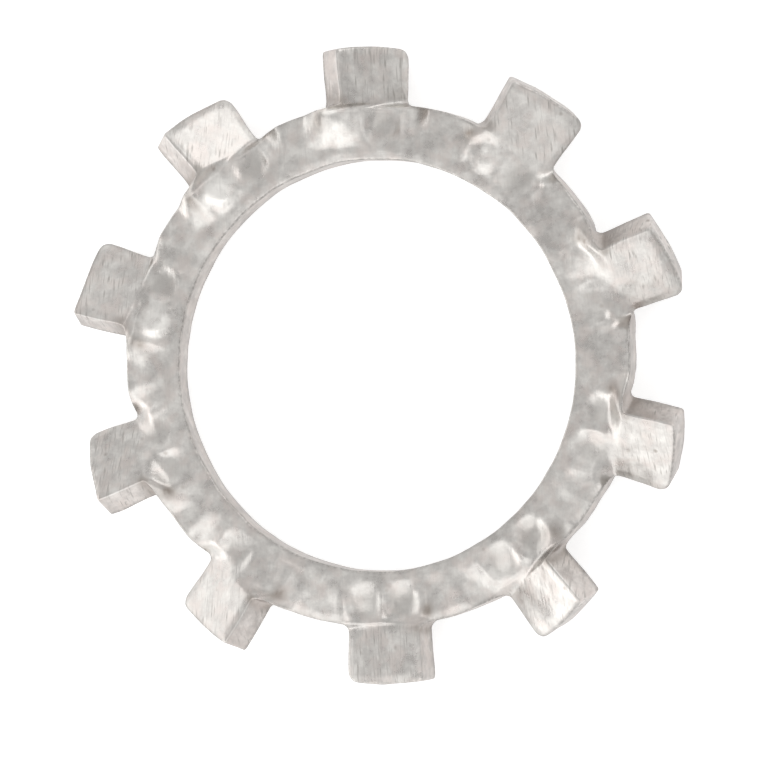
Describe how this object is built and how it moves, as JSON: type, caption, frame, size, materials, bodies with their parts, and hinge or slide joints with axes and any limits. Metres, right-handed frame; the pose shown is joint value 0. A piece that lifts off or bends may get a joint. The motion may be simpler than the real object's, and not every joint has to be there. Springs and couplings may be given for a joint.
{
  "type": "external-tooth lock washer",
  "caption": "Flat ring of sheet steel with twisted teeth round its outside, which bite into a screw head and the part under it to stop the screw turning loose.",
  "frame": {"origin": "on the hole's axis, at the middle of the sheet's thickness", "axes": "+Z along the hole's axis, up when the washer lies on its teeth; +Y through the middle of one tooth, and +X a quarter turn clockwise from it as seen from above"},
  "size_m": [0.0198, 0.02, 0.0026],
  "materials": {
    "lock_washer": "bright rolled sheet, lightly worn and pitted"
  },
  "bodies": {
    "root": {"lock_washer": "lock_washer"}
  },
  "joints": []
}
